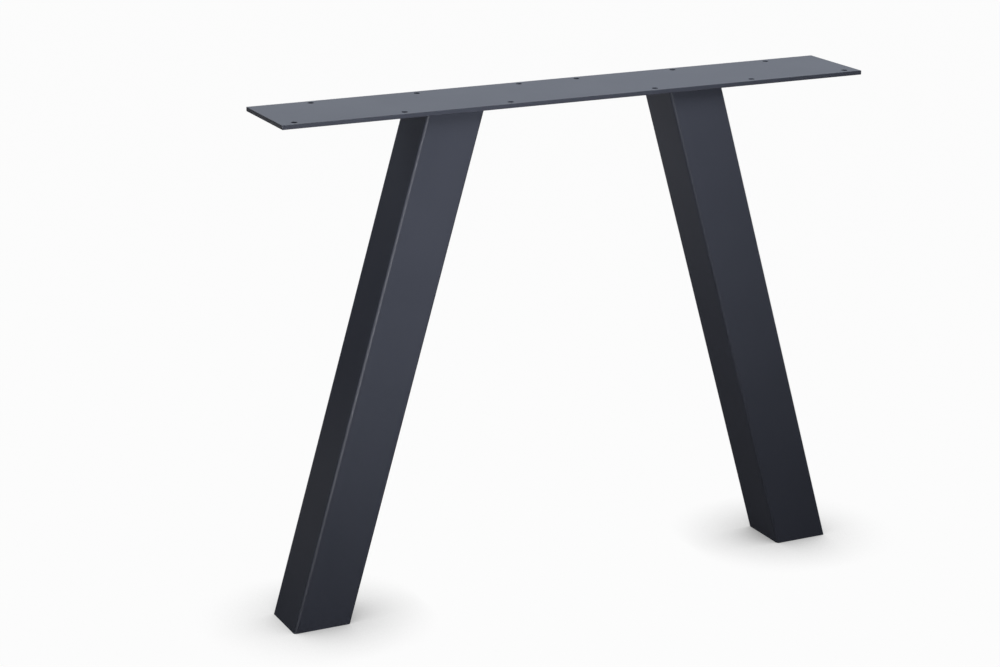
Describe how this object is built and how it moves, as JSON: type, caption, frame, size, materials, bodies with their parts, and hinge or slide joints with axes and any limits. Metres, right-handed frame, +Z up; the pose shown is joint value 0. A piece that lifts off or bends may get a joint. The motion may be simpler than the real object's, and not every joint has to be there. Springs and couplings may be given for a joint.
{
  "type": "trestle table leg",
  "caption": "Welded steel trestle leg for a table: a flat top plate with staggered screw holes on two square tube legs that lean outwards to the floor.",
  "frame": {"origin": "on the floor, under the middle of the top plate", "axes": "+Z up, +X along the top plate, +Y across it towards the row of holes that starts further from the plate's ends"},
  "size_m": [0.875, 0.13, 0.71],
  "materials": {
    "powder_coat": "satin dark blue-grey powder coat on steel, with a fine orange peel",
    "coated_weld": "the same powder coat over a rippled weld bead"
  },
  "bodies": {
    "root": {"top_plate": "powder_coat", "left_leg_tube": "powder_coat", "right_leg_tube": "powder_coat", "left_head_weld": "coated_weld", "right_head_weld": "coated_weld", "left_foot_plate": "powder_coat", "right_foot_plate": "powder_coat"}
  },
  "joints": []
}
